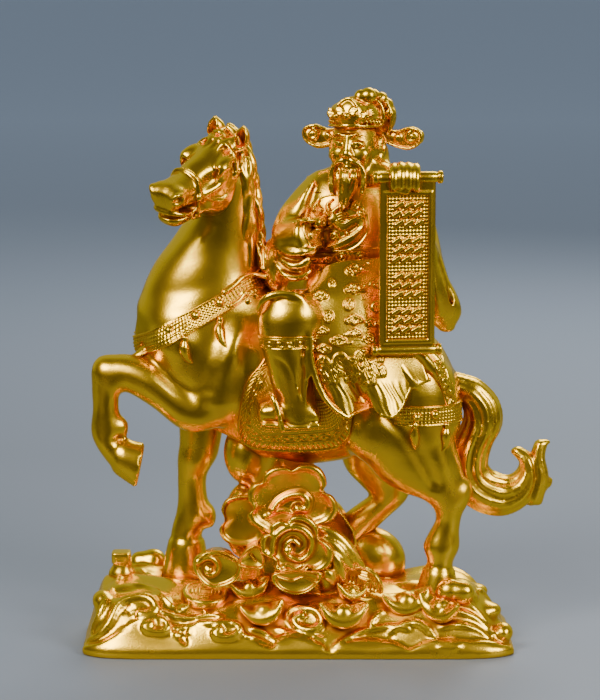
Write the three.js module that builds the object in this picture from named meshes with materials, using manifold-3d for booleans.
// A god of wealth riding a prancing horse, with a hanging scroll, over clouds, coins and ingots: one gilt casting.
// Millimetres, +Z up, the horse faces -X, its near side faces -Y, and the origin is under the middle of the box.
import * as THREE from "three";
import { mergeVertices } from "three/addons/utils/BufferGeometryUtils.js";
import Module from "manifold-3d";

const wasm = await Module();
wasm.setup();

// The plinth that the horse stands on.
const BASE_LENGTH = 214;
const BASE_DEPTH = 92;
const BASE_HEIGHT = 28; // the ground under the hooves
const BASE_LIP = 4; // the upright edge at the table
const BANK = { left: 9, right: 24, front: 22, back: 18 }; // how far in each bank climbs from the lip to the ground
const BASE_MIDDLE = -11.4; // the plinth's centre lies in front of the figure's centre

// The rider's hat stands this far over the ground, and the free forms keep their shares of it.
const FIGURE_HEIGHT = 252;
const GRID = 252; // the sculptor's grid: the free forms are drawn on a figure this many units high
const UNIT = FIGURE_HEIGHT / GRID;
const TRIANGLES = 9800; // the joined figure is thinned to this many
const SINK = 3; // how deep the hooves and clouds run into the ground, so that they are one with it

// The scroll.
const SCROLL_WIDTH = 27;
const SCROLL_LENGTH = 80;
const SCROLL_THICKNESS = 4;
const SCROLL_BORDER = 3;
const SCROLL_RELIEF = 0.9;
const ROLLER_LENGTH = 34;
const ROLLER_RADIUS = 3;

// The harness, the saddle cloth and the robe.
const STRAP_WIDTH = 9;
const STRAP_THICKNESS = 1.8;
const CLOTH_THICKNESS = 2.6;
const PENDANT_LENGTH = 14;

// The treasure on the ground.
const COIN_RADIUS = 10;
const COIN_THICKNESS = 4;
const COIN_HOLE = 5;
const INGOT_LENGTH = 22;
const INGOT_HEIGHT = 11;
const JAR_AT = [-100.5, 0];

const TAU = 2 * Math.PI;
const { abs, cos, sin, min, max, PI, hypot } = Math;
const rad = THREE.MathUtils.degToRad;
const lerp = THREE.MathUtils.lerp;
const step = THREE.MathUtils.smoothstep;
const vec = (x, y, z) => new THREE.Vector3(x, y, z);

// Rows of numbers read along a Catmull-Rom curve through them, at count evenly spaced places, or from one share on.
function smooth(rows, count, from = 0) {
  const last = rows.length - 1;
  return Array.from({ length: count }, (_, k) => {
    const t = min(1, from + k / (count - 1)) * last;
    const i = min(Math.floor(t), last - 1);
    const f = t - i;
    const [p, a, b, q] = [rows[max(i - 1, 0)], rows[i], rows[i + 1], rows[min(i + 2, last)]];
    return a.map((v, j) => {
      const bend = (b[j] - p[j]) * f + (2 * p[j] - 5 * v + 4 * b[j] - q[j]) * f * f
        + (3 * v - p[j] - 3 * b[j] + q[j]) * f ** 3;
      return v + bend / 2;
    });
  });
}

// A closed surface over rings of points, with a fan from each end ring to its tip, and its faces turned outwards.
function skin(rings, firstTip, lastTip) {
  const n = rings[0].length;
  const position = [firstTip, ...rings.flat(), lastTip].flatMap((p) => [p.x, p.y, p.z]);
  const index = [];
  const at = (ring, k) => 1 + ring * n + (k % n);
  const end = 1 + rings.length * n;
  for (let k = 0; k < n; k++) {
    index.push(0, at(0, k + 1), at(0, k));
    index.push(end, at(rings.length - 1, k), at(rings.length - 1, k + 1));
    for (let r = 0; r + 1 < rings.length; r++) {
      index.push(at(r, k), at(r, k + 1), at(r + 1, k + 1), at(r, k), at(r + 1, k + 1), at(r + 1, k));
    }
  }
  return outward(new THREE.BufferGeometry()
    .setAttribute("position", new THREE.Float32BufferAttribute(position, 3))
    .setIndex(index));
}

// The geometry with its faces turned outwards, told by the sign of the volume that they enclose.
function outward(geometry) {
  const p = geometry.getAttribute("position");
  const index = geometry.index.array;
  const [a, b, c] = [vec(), vec(), vec()];
  let volume = 0;
  for (let i = 0; i < index.length; i += 3) {
    a.fromBufferAttribute(p, index[i]);
    b.fromBufferAttribute(p, index[i + 1]);
    c.fromBufferAttribute(p, index[i + 2]);
    volume += a.dot(b.cross(c));
  }
  if (volume < 0) for (let i = 0; i < index.length; i += 3) [index[i], index[i + 1]] = [index[i + 1], index[i]];
  return geometry;
}

// A limb: each row is two opposite points of a section and its half width across them, and the ends are domed.
function loft(rows, { rings = 12, sides = 14, domes = [3, 3], flute = () => 1 } = {}) {
  const cuts = smooth(rows, rings).map(([ax, ay, az, bx, by, bz, w]) => {
    const [a, b] = [vec(ax, ay, az), vec(bx, by, bz)];
    return { centre: a.clone().add(b).divideScalar(2), reach: a.sub(b).divideScalar(2), w };
  });
  cuts.forEach((cut, i) => {
    const [from, to] = [cuts[max(i - 1, 0)].centre, cuts[min(i + 1, cuts.length - 1)].centre];
    cut.along = to.clone().sub(from).normalize();
    cut.across = cut.along.clone().cross(cut.reach).setLength(cut.w);
  });
  const ring = (cut, share, shift) => Array.from({ length: sides }, (_, k) => {
    const angle = (TAU * k) / sides;
    const size = share * flute(angle);
    return cut.centre.clone().addScaledVector(cut.reach, cos(angle) * size)
      .addScaledVector(cut.across, sin(angle) * size).addScaledVector(cut.along, shift);
  });
  const [first, final] = [cuts[0], cuts[cuts.length - 1]];
  const round = 0.7; // the half-way ring of a dome, as a share of its width and of its length
  return skin(
    [ring(first, round, -domes[0] * round), ...cuts.map((cut) => ring(cut, 1, 0)), ring(final, round, domes[1] * round)],
    first.centre.clone().addScaledVector(first.along, -domes[0]),
    final.centre.clone().addScaledVector(final.along, domes[1]),
  );
}

// A limb that lies in an upright plane: each row is ax, az, bx, bz, the depth y and the half width.
const flatLoft = (rows, options) =>
  loft(rows.map(([ax, az, bx, bz, y, w]) => [ax, y, az, bx, y, bz, w]), options);

// A round tube: each row is a point and its radius.
function tube(rows, { rings = 10, sides = 8, dome = 0.6 } = {}) {
  const cuts = smooth(rows, rings).map(([x, y, z, r]) => ({ centre: vec(x, y, z), r }));
  let side = vec(0, 1, 0);
  const loops = cuts.map((cut, i) => {
    const along = cuts[min(i + 1, rings - 1)].centre.clone().sub(cuts[max(i - 1, 0)].centre).normalize();
    side = side.clone().addScaledVector(along, -side.dot(along)).normalize();
    if (!side.lengthSq()) side = vec(1, 0, 0).cross(along).normalize();
    const up = along.clone().cross(side);
    cut.along = along;
    return Array.from({ length: sides }, (_, k) => {
      const angle = (TAU * k) / sides;
      return cut.centre.clone().addScaledVector(side, cut.r * cos(angle)).addScaledVector(up, cut.r * sin(angle));
    });
  });
  const tip = (cut, way) => cut.centre.clone().addScaledVector(cut.along, way * dome * cut.r);
  return skin(loops, tip(cuts[0], -1), tip(cuts[rings - 1], 1));
}

// A sheet with thickness: two grids of points, front and back, sewn together round their rim.
function sheet(front, back, columns, rows) {
  const position = [];
  for (const side of [front, back]) {
    for (let j = 0; j <= rows; j++) {
      for (let i = 0; i <= columns; i++) position.push(...side(i / columns, j / rows).toArray());
    }
  }
  const at = (i, j, side) => side * (columns + 1) * (rows + 1) + j * (columns + 1) + i;
  const index = [];
  const quad = (a, b, c, d) => index.push(a, b, c, a, c, d);
  for (let j = 0; j < rows; j++) {
    for (let i = 0; i < columns; i++) {
      quad(at(i, j, 0), at(i + 1, j, 0), at(i + 1, j + 1, 0), at(i, j + 1, 0));
      quad(at(i, j, 1), at(i, j + 1, 1), at(i + 1, j + 1, 1), at(i + 1, j, 1));
    }
  }
  for (let i = 0; i < columns; i++) {
    quad(at(i, 0, 1), at(i + 1, 0, 1), at(i + 1, 0, 0), at(i, 0, 0));
    quad(at(i, rows, 0), at(i + 1, rows, 0), at(i + 1, rows, 1), at(i, rows, 1));
  }
  for (let j = 0; j < rows; j++) {
    quad(at(0, j, 0), at(0, j + 1, 0), at(0, j + 1, 1), at(0, j, 1));
    quad(at(columns, j, 1), at(columns, j + 1, 1), at(columns, j + 1, 0), at(columns, j, 0));
  }
  return outward(new THREE.BufferGeometry()
    .setAttribute("position", new THREE.Float32BufferAttribute(position, 3))
    .setIndex(index));
}

// A heightfield closed by upright walls and a flat bottom at z = 0.
function slab(top, columns, rows) {
  const position = [];
  const index = [];
  const across = columns + 1;
  for (let j = 0; j <= rows; j++) {
    for (let i = 0; i <= columns; i++) position.push(...top(i / columns, j / rows).toArray());
  }
  for (let j = 0; j < rows; j++) {
    for (let i = 0; i < columns; i++) {
      const a = j * across + i;
      index.push(a, a + 1, a + across + 1, a, a + across + 1, a + across);
    }
  }
  const rim = [];
  for (let i = 0; i < columns; i++) rim.push(i);
  for (let j = 0; j < rows; j++) rim.push(j * across + columns);
  for (let i = columns; i > 0; i--) rim.push(rows * across + i);
  for (let j = rows; j > 0; j--) rim.push(j * across);
  const foot = across * (rows + 1);
  for (const k of rim) position.push(position[3 * k], position[3 * k + 1], 0);
  const centre = foot + rim.length;
  position.push(BASE_MIDDLE, 0, 0);
  rim.forEach((k, n) => {
    const next = (n + 1) % rim.length;
    index.push(k, foot + n, foot + next, k, foot + next, rim[next], foot + n, centre, foot + next);
  });
  return outward(new THREE.BufferGeometry()
    .setAttribute("position", new THREE.Float32BufferAttribute(position, 3))
    .setIndex(index));
}

// An egg: a sphere stretched to three half sizes.
function egg(x, y, z, rx, ry, rz, sides = 12) {
  return new THREE.SphereGeometry(1, sides, max(6, sides / 2)).scale(rx, ry, rz).translate(x, y, z);
}

const block = (x, y, z, sx, sy, sz) => new THREE.BoxGeometry(sx, sy, sz).translate(x, y, z);
const mirrored = (geometry) => {
  const copy = geometry.clone().scale(1, -1, 1);
  const index = copy.index.array;
  for (let i = 0; i < index.length; i += 3) [index[i], index[i + 1]] = [index[i + 1], index[i]];
  return copy;
};

// A piece made round its own zero, turned about X, then Y, then Z, in degrees, and moved to its place.
function placed(geometry, at, [rx, ry, rz] = [0, 0, 0]) {
  return geometry.clone().applyMatrix4(new THREE.Matrix4().makeRotationFromEuler(
    new THREE.Euler(rad(rx), rad(ry), rad(rz), "ZYX"))).translate(...at);
}

// A closed geometry as a solid, with its shared points merged.
function solid(geometry) {
  const bare = new THREE.BufferGeometry().setAttribute("position", geometry.getAttribute("position").clone());
  if (geometry.index) bare.setIndex(geometry.index.clone());
  const merged = mergeVertices(bare, 1e-4);
  return new wasm.Manifold(new wasm.Mesh({
    numProp: 3,
    vertProperties: merged.getAttribute("position").array,
    triVerts: new Uint32Array(merged.index.array),
  }));
}

const joined = (solids) => solids.reduce((all, one) => all.add(one));

// The same solid with the pockets that are sealed between its joined forms filled.
const filled = (manifold) => joined(manifold.decompose().filter((shell) => shell.volume() > 0));

function geometryOf(manifold) {
  const mesh = manifold.getMesh();
  return new THREE.BufferGeometry()
    .setAttribute("position", new THREE.Float32BufferAttribute(mesh.vertProperties, 3))
    .setIndex([...mesh.triVerts]);
}

// Adds to a form of ten numbers the squared distance to a triangle's plane, weighed by the triangle's area.
function addPlane(form, a, b, c) {
  const normal = b.clone().sub(a).cross(c.clone().sub(a));
  const area = normal.length();
  if (!area) return;
  normal.divideScalar(area);
  const row = [normal.x, normal.y, normal.z, -normal.dot(a)];
  let k = 0;
  for (let i = 0; i < 4; i++) for (let j = i; j < 4; j++) form[k++] += area * row[i] * row[j];
}

function bending(form, p) {
  const row = [p.x, p.y, p.z, 1];
  let [k, sum] = [0, 0];
  for (let i = 0; i < 4; i++) for (let j = i; j < 4; j++) sum += (i === j ? 1 : 2) * form[k++] * row[i] * row[j];
  return sum;
}

// The same closed surface with fewer triangles. The edges whose loss bends it least are closed first, and none that
// would fold a face over or pinch the surface.
function thinned(geometry, target) {
  const at = geometry.getAttribute("position");
  const point = Array.from({ length: at.count }, (_, i) => vec().fromBufferAttribute(at, i));
  const index = geometry.index.array;
  let faces = Array.from({ length: index.length / 3 }, (_, i) => [index[3 * i], index[3 * i + 1], index[3 * i + 2]]);
  const forms = point.map(() => new Float64Array(10));
  for (const [a, b, c] of faces) for (const v of [a, b, c]) addPlane(forms[v], point[a], point[b], point[c]);
  const normal = ([a, b, c]) => b.clone().sub(a).cross(c.clone().sub(a));
  const keeps = (face, a, b, p) => {
    const before = normal(face.map((v) => point[v]));
    const after = normal(face.map((v) => (v === a || v === b ? p : point[v])));
    return after.length() > 1e-3 && before.dot(after) > 0.4 * before.length() * after.length();
  };
  for (let pass = 0; faces.length > target && pass < 60; pass++) {
    const around = point.map(() => []);
    for (const face of faces) for (const v of face) around[v].push(face);
    const edges = [];
    for (const face of faces) {
      for (let k = 0; k < 3; k++) {
        const [a, b] = [face[k], face[(k + 1) % 3]];
        if (a > b) continue;
        const form = forms[a].map((v, i) => v + forms[b][i]);
        const places = [point[a], point[b], point[a].clone().lerp(point[b], 0.5)];
        const costs = places.map((p) => bending(form, p) + 1e-4 * point[a].distanceToSquared(point[b]));
        const best = costs.indexOf(min(...costs));
        edges.push({ a, b, form, p: places[best], cost: costs[best] });
      }
    }
    edges.sort((one, other) => one.cost - other.cost);
    const touched = new Uint8Array(point.length);
    const gone = new Set();
    const batch = edges.slice(0, Math.ceil(edges.length / 8));
    for (const { a, b, form, p } of batch) {
      if (faces.length - gone.size <= target) break;
      const near = new Set(around[a].flat());
      const far = new Set(around[b].flat());
      const all = [...new Set([...near, ...far])];
      if (all.some((v) => touched[v]) || all.filter((v) => near.has(v) && far.has(v)).length !== 4) continue;
      const rest = [...around[a], ...around[b]].filter((face) => !(face.includes(a) && face.includes(b)));
      if (!rest.every((face) => keeps(face, a, b, p))) continue;
      for (const face of around[b]) {
        if (face.includes(a)) gone.add(face);
        else face[face.indexOf(b)] = a;
      }
      point[a] = p.clone();
      forms[a] = form;
      for (const v of all) touched[v] = 1;
    }
    faces = faces.filter((face) => !gone.has(face));
  }
  const used = new Map();
  const number = (v) => (used.has(v) ? used.get(v) : used.set(v, used.size).get(v));
  const order = faces.flatMap((face) => face.map(number));
  return new THREE.BufferGeometry()
    .setAttribute("position", new THREE.Float32BufferAttribute([...used.keys()].flatMap((v) => point[v].toArray()), 3))
    .setIndex(order);
}

// The horse's trunk, as tops and bottoms of its upright sections from the chest to the rump.
function trunk() {
  return flatLoft([
    [-89, 133, -89, 115, 0, 10],
    [-80, 147, -80, 102, 0, 25],
    [-64, 153, -64, 85, 0, 31],
    [-48, 153, -48, 76, 0, 31],
    [-29, 149, -29, 64, 0, 32],
    [-10, 146, -10, 61, 0, 31],
    [10, 143, 10, 63, 0, 31],
    [30, 139, 30, 68, 0, 33],
    [48, 132, 48, 70, 0, 33],
    [60, 121, 60, 74, 0, 27],
    [67, 108, 67, 85, 0, 14],
  ], { rings: 16, sides: 24 });
}

function neck() {
  return loft([
    [-86, 0, 112, -20, 0, 142, 24],
    [-92, 0, 136, -28, 0, 158, 24],
    [-89, -1, 149, -31, -1, 170, 21],
    [-83, -2, 162, -31, -2, 183, 18],
    [-73, -4, 175, -32, -4, 197, 15.5],
    [-63, -7, 188, -34, -7, 210, 13.5],
    [-57, -9, 202, -38, -9, 221, 11],
  ], { rings: 12, sides: 20, domes: [2, 4] });
}

// The near foreleg is raised, bent at the knee and fetlock; rows run from the elbow to the sole of the hoof.
function raisedForeleg() {
  const y = -19;
  const upperArm = flatLoft([
    [-58, 134, -28, 126, y + 2, 9],
    [-62, 118, -33, 108, y, 12],
    [-58, 104, -37, 95, y, 12],
    [-54, 94, -44, 88, y, 9],
  ], { rings: 4, sides: 8 });
  const foreleg = flatLoft([
    [-50, 103, -43, 92, y, 9],
    [-60, 102, -53, 83, y, 12],
    [-71, 107, -68, 82, y, 12],
    [-84, 117, -84, 94, y, 11],
    [-98, 120, -96, 101, y, 9.5],
    [-108, 117, -100, 99, y, 9],
    [-113, 107, -100, 97, y, 7.5],
    [-113, 93, -100, 92, y, 6.5],
    [-114, 82, -98, 83, y, 7],
    [-112, 75, -101, 79, y, 7.5],
    [-107, 67, -99, 77, y, 7.5],
    [-101, 60, -95, 76, y, 8.5],
    [-92, 53, -88, 75, y, 9.5],
  ], { rings: 26, sides: 14, domes: [3, 0.5] });
  return [upperArm, foreleg];
}

function standingForeleg() {
  return flatLoft([
    [-72, 102, -44, 98, 17, 12],
    [-72, 88, -48, 84, 18, 11],
    [-72, 75, -51, 68, 18, 10],
    [-72, 61, -53, 60, 18, 9],
    [-73, 51, -58, 51, 18, 7],
    [-73, 39, -58, 40, 18, 6.5],
    [-74, 31, -55, 28, 18, 7],
    [-76, 24, -60, 22, 18, 7],
    [-78, 15, -60, 15, 18, 9],
    [-81, 3, -57, 3, 18, 11],
    [-82, -SINK, -56, -SINK, 18, 11],
  ], { rings: 18, sides: 12, domes: [3, 0.5] });
}

function nearHindLeg() {
  return flatLoft([
    [26, 112, 64, 110, -14, 16],
    [15, 80, 69, 86, -18, 17],
    [25, 62, 66, 77, -19, 14],
    [37, 52, 70, 63, -19, 11],
    [50, 47, 73, 51, -19, 9],
    [56, 42, 72, 45, -19, 8],
    [57, 36, 70, 38, -19, 6.5],
    [54, 30, 69, 31, -19, 6.5],
    [51, 23, 69, 22, -19, 8],
    [53, 16, 66, 15, -19, 7.5],
    [49, 6, 67, 5, -19, 10],
    [46, -SINK, 69, -SINK, -19, 11],
  ], { rings: 20, sides: 16, domes: [3, 0.5] });
}

// The far hind leg steps forward under the belly.
function farHindLeg() {
  return flatLoft([
    [14, 108, 64, 106, 13, 16],
    [8, 82, 62, 82, 16, 17],
    [9, 67, 55, 70, 18, 15],
    [13, 54, 50, 59, 18, 12],
    [21, 45, 47, 48, 18, 9.5],
    [25, 40, 44, 38, 18, 8.5],
    [20, 36, 34, 28, 18, 7.5],
    [11, 29, 24, 18, 18, 7],
    [3, 20, 18, 10, 18, 8],
    [-3, 8, 15, 3, 18, 10],
    [-6, -SINK, 15, -SINK, 18, 11],
  ], { rings: 18, sides: 12, domes: [3, 0.5] });
}

// The tail sweeps up, round and back in an S, with flutes for its hair, and ends in three curling locks.
function tail() {
  const hair = (angle) => 1 + 0.08 * cos(7 * angle);
  const sweep = flatLoft([
    [64, 108, 64, 95, 0, 8],
    [72, 106, 69, 92, 0, 8],
    [80, 103, 71, 90, 0, 9],
    [88, 95, 72, 86, 0, 9.5],
    [91, 86, 71, 81, 0, 10],
    [90, 78, 68, 75, 0, 11],
    [86, 70, 65, 66, 0, 11],
    [84, 61, 65, 55, 0, 11],
    [86, 57, 70, 43, 0, 11],
    [90, 55, 80, 36, 0, 11],
    [94, 54, 92, 34, 0, 10],
    [98, 56, 103, 39, 0, 9],
    [100, 60, 109, 49, 0, 7.5],
    [99, 63, 108, 63, 0, 6],
    [96, 66, 101, 69, 0, 3.5],
  ], { rings: 28, sides: 21, domes: [2, 2], flute: hair });
  const middleLock = flatLoft([
    [103, 44, 112, 41, 0, 6],
    [106, 55, 115, 54, 0, 6],
    [106, 65, 113, 64, 0, 5],
    [108, 72, 114, 70, 0, 3.5],
    [112, 73, 115, 71, 0, 2],
  ], { rings: 5, sides: 6, domes: [2, 1] });
  const outerLock = flatLoft([
    [103, 50, 107, 39, 1, 6],
    [111, 54, 112, 45, 1, 5],
    [116, 53, 115, 48, 1, 3],
  ], { rings: 3, sides: 6, domes: [2, 2.3] });
  return [sweep, middleLock, outerLock];
}

// The horse's head is made pointing along its own +X, then tipped down and turned towards the near side.
const HEAD_AT = [-46, -8, 212.8];
const HEAD_TURN = [-14, 14, 180 + 52];

function horseHead() {
  const skull = flatLoft([
    [-5, 7, -5, -9, 0, 7],
    [4, 13, 4, -14, 0, 11],
    [13, 14.5, 13, -17, 0, 12.5],
    [21, 12.5, 21, -18, 0, 11.5],
    [27, 10.4, 27, -13, 0, 9.8],
    [34, 9.2, 34, -9, 0, 8.6],
    [41, 9, 41, -8, 0, 9.2],
    [47, 8, 47, -7.5, 0, 9],
    [50.4, 5, 50.4, -6, 0, 6.5],
  ], { rings: 14, sides: 16, domes: [2, 0.8] });
  const lowerJaw = flatLoft([
    [20, -9, 20, -17, 0, 7],
    [31, -10, 30, -16.6, 0, 6.6],
    [42, -11, 42, -16.8, 0, 6.4],
    [47, -11, 47, -15.2, 0, 4.6],
  ], { rings: 4, sides: 6, domes: [1, 1] });
  const perSide = (side) => [
    egg(15, side * 10.5, 8, 5, 3.5, 3.4, 6),
    egg(16, side * 7.5, -9, 9.5, 5, 8.5, 6),
    loft([
      [-2, side * 3, 8, 3, side * 9, 8, 2.5],
      [-3, side * 4, 15, 3, side * 11, 15, 3],
      [-1, side * 7, 21, 1, side * 10, 21, 1.5],
    ], { rings: 3, sides: 6, domes: [1, 2] }),
  ];
  const pieces = [skull, lowerJaw, ...perSide(-1), ...perSide(1)];
  return pieces.map((piece) => placed(piece, HEAD_AT, HEAD_TURN));
}

// The mane falls on both sides of the crest in a waved band, like overlapping locks.
function mane() {
  const waves = 6;
  const crest = smooth([
    [-45, -9, 228],
    [-36, -9, 221],
    [-31, -7, 206],
    [-29, -4, 191],
    [-28, -2, 177],
    [-29, -1, 162],
  ], 2 * waves + 1);
  return [loft(crest.map(([x, y, z], k) => {
    const lock = k % 2 ? 1 : 0;
    return [x - 2 + 2.5 * lock, y, z, x - 10, y, z - 3, 9 + 3 * lock + k * 0.5];
  }), { rings: 2 * waves + 1, sides: 8, domes: [3, 3] })];
}

// The front of the saddle rises between the mane and the rider.
function pommel() {
  return egg(-22, -6, 163, 8, 17, 14, 10);
}

function horse() {
  return [
    trunk(), neck(), pommel(), ...raisedForeleg(), standingForeleg(), nearHindLeg(), farHindLeg(),
    ...tail(), ...horseHead(), ...mane(),
  ];
}

// The rider's leg hangs down the flank: thigh, padded knee over its band, boot shaft and boot in its stirrup.
function leg() {
  const y = -38;
  return [
    loft([
      [26, -6, 150, 26, -6, 116, 14],
      [12, -14, 151, 12, -14, 120, 12],
      [0, -24, 152, 0, -24, 122, 12],
      [-12, -37, 155, -12, -37, 126, 12],
      [-20, -38, 150, -20, -38, 129, 9],
    ], { rings: 8, sides: 12, domes: [2, 4] }),
    flatLoft([
      [-27, 149, -11, 149, y, 8],
      [-30, 141, -8, 141, y, 10.5],
      [-30, 129, -6.5, 129, y, 10.5],
      [-27.5, 120, -4.5, 120, y, 9.5],
      [-24.5, 109, -4, 109, y, 8],
      [-21, 99, -3, 98, y, 8],
      [-19, 90, -3, 90, y, 7.5],
    ], { rings: 12, sides: 12, domes: [3, 0.5] }),
    flatLoft([
      [-1.5, 97, -1.5, 87.5, y, 6.5],
      [-10, 104, -10, 86.5, y, 7.5],
      [-20, 102, -20, 86.5, y, 7.5],
      [-28.5, 99, -28.5, 88, y, 6.5],
    ], { rings: 7, sides: 12, domes: [1, 2.5] }),
    block(-20, y - 1.4, 95, 2.6, 16, 17),
  ];
}

function torso() {
  return loft([
    [-10, 0, 116, 50, 0, 116, 27],
    [-11, 0, 132, 49, 0, 132, 25],
    [-9, 0, 150, 42, 0, 150, 21],
    [-8, -1, 163, 38, -1, 163, 18],
    [-11, -1, 178, 42, -1, 178, 19],
    [-13, -1, 194, 45, -1, 194, 17],
    [-2, -2, 205, 36, -2, 205, 13],
    [6, -4, 211, 27, -4, 211, 9],
  ], { rings: 14, sides: 24, domes: [1, 4] });
}

// The right arm is bent across the belly, and its wide sleeve hangs in three folds.
function bentArm() {
  return [
    tube([
      [1, -1, 200, 9.5],
      [-6, -5, 193, 9.5],
      [-12.6, -10, 186, 9],
      [-16, -15, 179, 8.8],
    ], { rings: 6, sides: 12 }),
    tube([
      [-16, -18, 177.6, 9],
      [-12.6, -24, 178.6, 9],
      [-8.4, -28.6, 180, 8.8],
      [-6.4, -30.4, 180.6, 8.8],
    ], { rings: 5, sides: 12, dome: 0.1 }),
    loft([
      [-23, -22, 177, -2, -28, 181, 8],
      [-21, -23, 167, -3, -27, 171, 7],
      [-17, -24, 159, -7, -26, 161, 5],
    ], { rings: 5, sides: 12, domes: [1, 3] }),
  ];
}

// The left arm holds up the scroll, and its sleeve hangs behind the scroll down to a rounded bag.
function raisedArm() {
  return [
    tube([
      [36, -3, 199, 11],
      [43, -7, 188, 11],
      [48, -13, 172, 10.5],
      [50, -19, 160, 9.5],
    ], { rings: 6, sides: 12 }),
    tube([
      [50, -19, 158, 9],
      [47, -27, 175, 8],
      [43, -33, 193, 6],
      [40, -38, 206, 5],
    ], { rings: 6, sides: 12 }),
    loft([
      [40, -20, 182, 52, -20, 180, 12],
      [42, -20, 166, 59, -18, 163, 13],
      [45, -19, 152, 66, -17, 151, 12],
      [50, -18, 139, 69, -16, 141, 9],
      [57, -17, 133, 66, -16, 134, 5],
    ], { rings: 9, sides: 14, domes: [2, 3] }),
    egg(39.5, -40, 210, 8, 7, 6.5, 6),
    ...[0, 1, 2, 3].map((k) => {
      const x = 34.3 + 3.5 * k;
      return tube([
        [x, -38, 214, 2],
        [x, -43, 214.5, 2.1],
        [x, -47, 210, 2.1],
        [x, -45.5, 206, 1.9],
      ], { rings: 6, sides: 6 });
    }),
  ];
}

// The robe's skirt runs from the belt over the thigh and down the flank, and its hem turns up in waves.
// It is drawn through four lines: at the belt, two over the thigh and along the hem.
function skirt() {
  const columns = 24;
  const lines = [
    [[-7, -27, 158], [4, -25, 166], [20, -23, 168], [36, -20, 168], [46, -16, 160]],
    [[-7, -41, 149], [5, -37.5, 150], [19, -35, 151], [34, -31, 149], [47, -25, 144]],
    [[-5, -42, 124], [5, -43.5, 126], [18, -42, 126], [32, -38, 124], [48, -31, 124]],
    [
      [4, -44, 102], [11, -46, 94], [16, -44, 96], [19, -39, 102], [24, -43, 100], [29, -46, 95],
      [34, -46, 94], [38, -43, 97], [41, -39, 102], [44, -36, 107], [53, -34, 110],
    ],
  ].map((line) => smooth(line, columns + 1));
  const face = (inset) => (u, v) => {
    const k = Math.round(u * columns);
    const [place] = smooth(lines.map((line) => line[k]), 2, v);
    return vec(...place).add(vec(0, inset, 0));
  };
  return sheet(face(0), face(7), columns, 8);
}

// The robe's tail is spread over the rump in two rolls.
function trailingRobe() {
  return [
    loft([
      [24, -20, 142, 24, -26, 106, 10],
      [42, -20, 134, 42, -28, 102, 9],
      [54, -20, 120, 54, -26, 98, 8],
      [62, -20, 102, 62, -22, 93, 5],
    ], { rings: 8, sides: 12, domes: [1, 2] }),
    loft([
      [24, 20, 142, 24, 26, 106, 10],
      [42, 20, 134, 42, 28, 102, 9],
      [54, 20, 120, 54, 26, 98, 8],
      [62, 20, 102, 62, 22, 93, 5],
    ], { rings: 8, sides: 12, domes: [1, 2] }),
  ];
}

// The rider's head, with a calm, plain face turned a little towards the horse's head.
const FACE_AT = [16, -8, 222];
const FACE_TURN = [0, 0, -24];

function riderHead() {
  const headWidth = 11.5;
  const pieces = [
    egg(0, 2, 0, headWidth, 13.5, 16, 14),
    egg(3, 10, -7, headWidth, 10, 14, 10),
    egg(0, -11.3, -2, 2.2, 2.6, 4.2, 6),
    egg(0, -9.2, 4, 8, 2.6, 1.6, 6),
    egg(3, 3, -14, 17, 12, 8, 10),
    ...[-1, 1].map((side) => egg(side * (headWidth + 0.9), 5, -0.5, 1.8, 3.4, 5.4, 6)),
  ];
  const beard = loft([
    [-6.5, -8, -8, 6.5, -8, -8, 4],
    [-7.5, -10, -15, 7.5, -10, -15, 4.2],
    [-6, -11, -24, 6, -11, -24, 3.6],
    [-3.4, -12, -32, 3.2, -12, -32, 2.6],
    [-1.2, -13, -39, 0.4, -13, -39, 1.4],
  ], { rings: 8, sides: 12, domes: [1, 2], flute: (angle) => 1 + 0.07 * cos(6 * angle) });
  const moustache = (side) => tube([
    [side * 0.6, -11.8, -6, 1.4],
    [side * 4, -11.8, -7.2, 1.5],
    [side * 7.6, -10.4, -12, 1.2],
    [side * 8.4, -10.6, -20, 1],
    [side * 8, -11.4, -28, 0.8],
  ], { rings: 5, sides: 4 });
  pieces.push(beard, moustache(-1), moustache(1));
  return pieces.map((piece) => placed(piece, FACE_AT, FACE_TURN));
}

// The official's hat: a band with a scalloped front, a high lobed crest, a ball, and two flat side wings.
function hat() {
  const lobes = (angle) => 1 + 0.03 * cos(9 * angle);
  const wing = (side) => loft([
    [side * 10 + 2, 10, 8, side * 10 + 2, 10, 1, 2.4],
    [side * 18 + 2, 10, 7, side * 17 + 2, 10, -1, 2.4],
    [side * 25 + 2, 9, 9.5, side * 24 + 2, 9, -2, 2.8],
    [side * 30 + 2, 8.5, 7.5, side * 29.5 + 2, 8.5, 1, 2.4],
  ], { rings: 5, sides: 8, domes: [1, 1.5] });
  const pieces = [
    loft([
      [-12.2, 3, 8, 12.2, 3, 8, 16],
      [-12.8, 4, 12, 12.8, 4, 12, 16.5],
      [-12.4, 5, 17, 12.4, 5, 17, 15.5],
      [-7, 6, 20, 9, 6, 21, 10],
    ], { rings: 6, sides: 24, domes: [0.5, 3], flute: lobes }),
    egg(1, -8, 16, 7, 6, 7.5, 10),
    egg(4, -3, 24, 3.2, 3, 3.6, 6),
    egg(7.5, -1.5, 24, 4.5, 4, 4.5, 6),
    egg(6, 13, 13.5, 11.5, 10, 11.5, 12),
    wing(-1),
    wing(1),
  ];
  return pieces.map((piece) => placed(piece, FACE_AT, FACE_TURN));
}

// The belt is a flat ring round the waist.
function belt() {
  const centre = [15, -1];
  return loft([
    [centre[0] - 25, centre[1], 164, centre[0] + 25, centre[1], 164, 20],
    [centre[0] - 25, centre[1], 173, centre[0] + 25, centre[1], 173, 20],
  ], { rings: 2, sides: 24, domes: [0.5, 0.5] });
}

const rider = () => [
  torso(), ...bentArm(), ...raisedArm(), ...leg(), ...leg().map(mirrored), skirt(), mirrored(skirt()),
  ...trailingRobe(), belt(), ...riderHead(), ...hat(),
];

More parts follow.
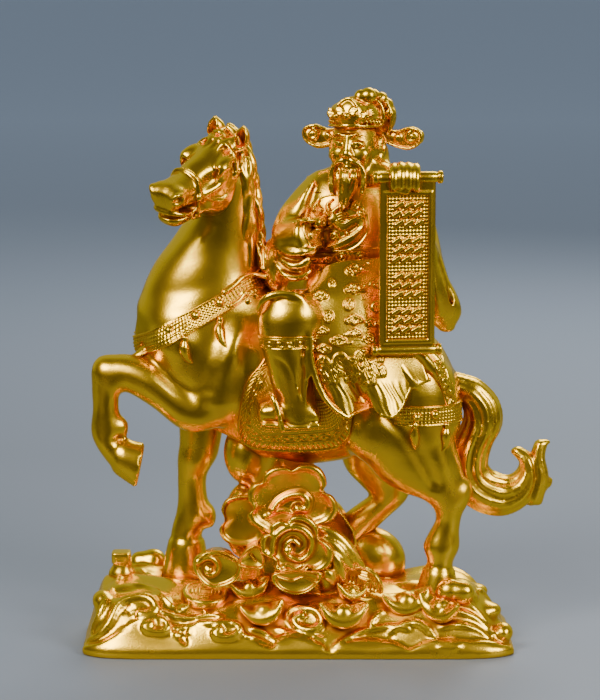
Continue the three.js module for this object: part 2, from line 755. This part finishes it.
// The scroll hangs from its roller in the raised hand: a framed plate with rows of plain strokes that are not letters.
const SCROLL_AT = [41, -43.5, 210];
const SCROLL_TURN = [0, 0, 8];

function scroll() {
  const plateTop = -ROLLER_RADIUS;
  const plateMiddle = plateTop - SCROLL_LENGTH / 2;
  const roller = (z) => new THREE.CylinderGeometry(ROLLER_RADIUS, ROLLER_RADIUS, ROLLER_LENGTH, 12)
    .rotateZ(PI / 2).translate(0, 0, z);
  const face = -SCROLL_THICKNESS / 2;
  const bar = (x, z, width, height) => block(x, face, z, width, 2 * SCROLL_RELIEF, height);
  const plateEnd = plateTop - SCROLL_LENGTH;
  const frame = [
    bar(-(SCROLL_WIDTH - SCROLL_BORDER) / 2, plateMiddle, SCROLL_BORDER, SCROLL_LENGTH),
    bar((SCROLL_WIDTH - SCROLL_BORDER) / 2, plateMiddle, SCROLL_BORDER, SCROLL_LENGTH),
    bar(0, plateTop - SCROLL_BORDER / 2, SCROLL_WIDTH, SCROLL_BORDER),
    bar(0, plateEnd + SCROLL_BORDER / 2, SCROLL_WIDTH, SCROLL_BORDER),
  ];
  const strokes = [];
  const signs = 4;
  const field = SCROLL_LENGTH - 4 * SCROLL_BORDER;
  const signWidth = SCROLL_WIDTH - 4.5 * SCROLL_BORDER;
  const strokeWidth = SCROLL_BORDER * 0.45;
  for (let k = 0; k < signs; k++) {
    const z = plateTop - 2 * SCROLL_BORDER - (field * (k + 0.5)) / signs;
    const tall = (field / signs) * 0.62;
    for (const share of [-0.5, 0.5]) {
      strokes.push(bar(0, z + share * tall, signWidth * (0.85 + 0.3 * share), strokeWidth));
    }
    strokes.push(bar(((k % 2) - 0.5) * signWidth * 0.4, z, strokeWidth, tall));
  }
  const rounds = [roller(0), roller(plateEnd)];
  const plate = block(0, 0, plateMiddle, SCROLL_WIDTH, SCROLL_THICKNESS, SCROLL_LENGTH + ROLLER_RADIUS);
  return [plate, ...rounds, ...frame, ...strokes].map((piece) => placed(piece, SCROLL_AT, SCROLL_TURN));
}

// A strap laid on the horse: its middle line is drawn on the side view, and each point is pushed onto the body.
function strap(line, side, onBody, width = STRAP_WIDTH) {
  const middle = smooth(line, 12);
  const place = (u, v, out) => {
    const t = u * (middle.length - 1);
    const i = min(Math.floor(t), middle.length - 2);
    const [a, b] = [middle[i], middle[i + 1]];
    const [dx, dz] = [b[0] - a[0], b[1] - a[1]];
    const long = hypot(dx, dz);
    const x = lerp(a[0], b[0], t - i) - (dz / long) * (v - 0.5) * width;
    const z = lerp(a[1], b[1], t - i) + (dx / long) * (v - 0.5) * width;
    return vec(x, side * (onBody(x, z, side) + (out ? STRAP_THICKNESS : -3)), z);
  };
  return sheet((u, v) => place(u, v, true), (u, v) => place(u, v, false), 14, 2);
}

// How far the body reaches out on one side at a point of the side view.
function bodyReach(body) {
  const target = new THREE.Mesh(geometryOf(body), new THREE.MeshBasicMaterial({ side: THREE.DoubleSide }));
  const beam = new THREE.Raycaster();
  const far = 200;
  const least = 6; // where the body has already curved away
  return (x, z, side) => {
    beam.set(vec(x, side * far, z), vec(0, -side, 0));
    const [hit] = beam.intersectObject(target);
    return hit ? max(least, side * hit.point.y) : least;
  };
}

function harness(onBody) {
  const breast = [[-87, 124], [-74, 133.5], [-60, 141.5], [-48, 147.5], [-35, 153]];
  const breech = [[38, 94], [50, 91], [60, 91], [66, 92]];
  const drops = [[-66, 131], [-49, 140], [46, 88]];
  return [-1, 1].flatMap((side) => [
    strap(breast, side, onBody),
    strap(breech, side, onBody, STRAP_WIDTH * 0.85),
    ...drops.map(([x, z]) => egg(
      x, side * (onBody(x, z - PENDANT_LENGTH / 2, side) + 1), z - PENDANT_LENGTH / 2,
      2.8, 2.6, PENDANT_LENGTH / 2, 6)),
  ]);
}

// The saddle cloth lies on both flanks, with rounded lower corners.
function saddleCloth(onBody) {
  const [left, right, bottom, top] = [-41, 15, 71.5, 132];
  const corner = 9;
  const place = (out) => (u, v) => {
    const droop = (shift) => corner * (1 - Math.sqrt(max(0, 1 - min(1, max(0, shift / corner)) ** 2)));
    const x = lerp(left, right, u) + lerp(0, 9, v) * (1 - u);
    const edge = min(x - left, right - x);
    const low = bottom + droop(corner - edge);
    const z = lerp(low, top, v);
    return vec(x, -(out ? max(32, onBody(x, z, -1)) + CLOTH_THICKNESS : 20), z);
  };
  const near = sheet(place(true), place(false), 14, 8);
  return [near, mirrored(near)];
}

// The plinth's edges are straight in the middle and rounded at the corners, more so behind than in front.
function edgeAt(x, way) {
  const share = abs(x - BASE_MIDDLE) / (BASE_LENGTH / 2);
  return (BASE_DEPTH / 2) * (way < 0 ? 1 - 0.2 * share ** 14 : 1 - 0.6 * share ** 5);
}

// A bank's rise from 0 to 1 over its width: steep at the foot, then easing.
function bank(inward, width) {
  const t = min(1, max(0, inward / width));
  return lerp(1 - (1 - t) ** 1.7, step(t, 0, 1), 0.25);
}

// The height of the ground over the table, with slow swells; it falls away to the lip at the edges.
function groundHeight(x, y) {
  const fromMiddle = x - BASE_MIDDLE;
  const inX = BASE_LENGTH / 2 - abs(fromMiddle);
  const ends = bank(inX, fromMiddle < 0 ? BANK.left : BANK.right);
  const sides = min(bank(edgeAt(x, -1) + y, BANK.front), bank(edgeAt(x, 1) - y, BANK.back));
  const swell = 1.8 * sin(x / 8 + 1.4 * sin(y / 9)) + 1.4 * sin(y / 5 + x / 21);
  return BASE_LIP + (BASE_HEIGHT - BASE_LIP) * ends * sides + swell * min(1, ends * sides * 2.5);
}

function plinth() {
  const over = (share) => 0.5 - 0.5 * cos(PI * share); // the grid is closer near the edges
  return slab((u, v) => {
    const x = BASE_MIDDLE + BASE_LENGTH * (lerp(u, over(u), 0.5) - 0.5);
    const y = lerp(-edgeAt(x, -1), edgeAt(x, 1), lerp(v, over(v), 0.5));
    return vec(x, y, groundHeight(x, y));
  }, 40, 18);
}

// A cloud: a lobed cushion with a dished face, a raised rim and a spiral curl on it, facing the near side.
function cloud(x, z, front, back, rx, rz, { lobes = 5, tilt = 0, curl = 1 } = {}) {
  const sides = 20;
  const ring = (y, size) => Array.from({ length: sides }, (_, k) => {
    const angle = (TAU * k) / sides;
    const r = size * (1 + 0.09 * cos(lobes * angle + tilt));
    return vec(x + rx * r * cos(angle), y, z + rz * r * sin(angle));
  });
  const depth = back - front;
  const cushion = skin([
    ring(back, 0.6), ring(front + depth * 0.4, 1), ring(front, 0.96), ring(front + 2, 0.8),
  ], vec(x, back, z), vec(x, front + 1.5, z));
  if (!curl) return [cushion];
  const turns = 1.3;
  const spiral = tube(Array.from({ length: 9 }, (_, k) => {
    const share = k / 8;
    const angle = curl * TAU * turns * share + 1;
    const reach = 0.08 + 0.55 * share;
    return [x + rx * reach * cos(angle), front + 1, z + rz * reach * sin(angle), lerp(3, 1.6, share)];
  }), { rings: 14, sides: 6 });
  return [cushion, spiral];
}

function clouds() {
  return [
    ...cloud(-14, 45, -21, 6, 21, 19, { lobes: 5, tilt: 0.6 }),
    ...cloud(-12, 26, -33, -8, 17, 14.6, { lobes: 5, tilt: 0.2 }),
    ...cloud(-32, 44, -13, 8, 13, 18, { lobes: 3, tilt: 1, curl: 0 }),
    ...cloud(0, 30, -9, 14, 11, 15, { lobes: 3, tilt: 2, curl: 0 }),
    ...cloud(-52, 13, -29, -8, 12, 9.5, { lobes: 3, curl: 0 }),
    ...cloud(-13, 5, -36, -12, 12, 6, { lobes: 3, curl: 0 }),
    ...cloud(24, 5, 6, 34, 21, 20, { curl: 0 }),
    egg(-40, 4, 30, 9, 12, 19, 12),
    egg(-38, 2, 66, 11, 14, 16, 12),
    egg(-88, 22, 5, 9, 9, 7, 8),
    flatLoft([
      [-40, -SINK, 12, -SINK, 2, 20],
      [-37, 20, 6, 20, 2, 17],
      [-36, 48, -3, 48, 2, 15],
      [-36, 74, -2, 74, 2, 16],
    ], { rings: 8, sides: 16, domes: [0.5, 4] }),
    ...[0, 1].map((k) => tube([
      [-4 + 6 * k, -24 + 4 * k, 28 - k, 4],
      [8 + 6 * k, -25 + 4 * k, 20 - k, 5],
      [16 + 7 * k, -27 + 4 * k, 8, 4],
      [23 + 7 * k, -29 + 4 * k, 1, 2],
    ], { rings: 4, sides: 5 })),
  ];
}

// A boat-shaped ingot: a rounded hull with upturned ends and an egg-shaped mound in its hollow.
function ingot(x, y, lift, turn, size) {
  const half = INGOT_LENGTH / 2;
  const hull = flatLoft([
    [-half, 0.5 * INGOT_HEIGHT, -half, 0.1 * INGOT_HEIGHT, 0, 2],
    [-0.6 * half, 0.2 * INGOT_HEIGHT, -0.5 * half, -0.45 * INGOT_HEIGHT, 0, 6],
    [0, 0, 0, -0.55 * INGOT_HEIGHT, 0, 7],
    [0.6 * half, 0.2 * INGOT_HEIGHT, 0.5 * half, -0.45 * INGOT_HEIGHT, 0, 6],
    [half, 0.5 * INGOT_HEIGHT, half, 0.1 * INGOT_HEIGHT, 0, 2],
  ], { rings: 9, sides: 10, domes: [0.8, 0.8] });
  const mound = egg(0, 0, 0.5, INGOT_LENGTH * 0.24, 4, INGOT_HEIGHT * 0.4, 6);
  const z = groundHeight(x, y) + lift;
  return [hull, mound].map((piece) => placed(piece.scale(size, size, size), [x, y, z], turn));
}

// A round coin with a square hole through a raised rim.
function coin(x, y, lift, turn) {
  const disc = new THREE.CylinderGeometry(COIN_RADIUS, COIN_RADIUS, COIN_THICKNESS, 12).rotateX(PI / 2);
  const hole = block(0, 0, COIN_THICKNESS / 2, COIN_HOLE, COIN_HOLE, COIN_THICKNESS / 2);
  const place = (piece) => solid(placed(piece, [x, y, groundHeight(x, y) + lift], turn));
  return place(disc).subtract(place(hole));
}

function treasure() {
  const ingots = [
    ingot(-36, -22, 2, [22, -6, 12], 0.95), ingot(-28.5, -34.5, 3.5, [24, -10, -4], 1),
    ingot(11, -37, 4.4, [24, 2, 4], 1.12), ingot(42, -32, 2.4, [24, -7, 8], 1.08),
    ingot(59, -37, 5.3, [34, 8, -38], 1.05), ingot(15, -29, 2.4, [18, 6, 30], 0.8),
    ingot(28, 24, 3, [-20, -4, -10], 1), ingot(-26, 37, 4, [-24, 6, 8], 1.05),
  ];
  const coins = [
    coin(-57.5, -22, 1.5, [14, 3, 0]), coin(22, -22, 4, [38, 22, 10]), coin(36, -18, 5, [34, 14, 20]),
    coin(-58, 25, 1.5, [-22, 6, 0]),
  ];
  const foot = BASE_HEIGHT + 2;
  const jar = [egg(JAR_AT[0], JAR_AT[1], foot + 1, 7, 6.4, 6.5, 8), egg(JAR_AT[0], JAR_AT[1], foot + 6, 4.8, 4.8, 6, 8),
    block(JAR_AT[0], JAR_AT[1], foot + 10.6, 9.6, 9.6, 5.6)];
  return { forms: [...ingots.flat(), ...jar], coins };
}

const GOLD = new THREE.MeshStandardMaterial({ name: "gilt_brass", color: 0xd9a336, metalness: 1, roughness: 0.28 });

// The free forms are drawn from the ground up, so they are lifted onto the plinth and scaled to the figure's height.
const raised = (manifold) => manifold.scale([UNIT, UNIT, UNIT]).translate([0, 0, BASE_HEIGHT]);

function figure() {
  const body = joined(horse().map(solid));
  const onBody = bodyReach(body);
  const dressed = [...saddleCloth(onBody), ...harness(onBody), ...rider(), ...clouds()].map(solid);
  const group = raised(joined([body, ...dressed]));
  const hanging = joined(scroll().map(solid)).translate([0, 0, BASE_HEIGHT]);
  const { forms, coins } = treasure();
  const whole = joined([group, hanging, solid(plinth()), ...forms.map(solid), ...coins]);
  const mesh = new THREE.Mesh(thinned(geometryOf(filled(whole)), TRIANGLES), GOLD);
  mesh.name = "caishen_figure";
  return mesh;
}

const part = new THREE.Group();
part.add(figure());

export default part;
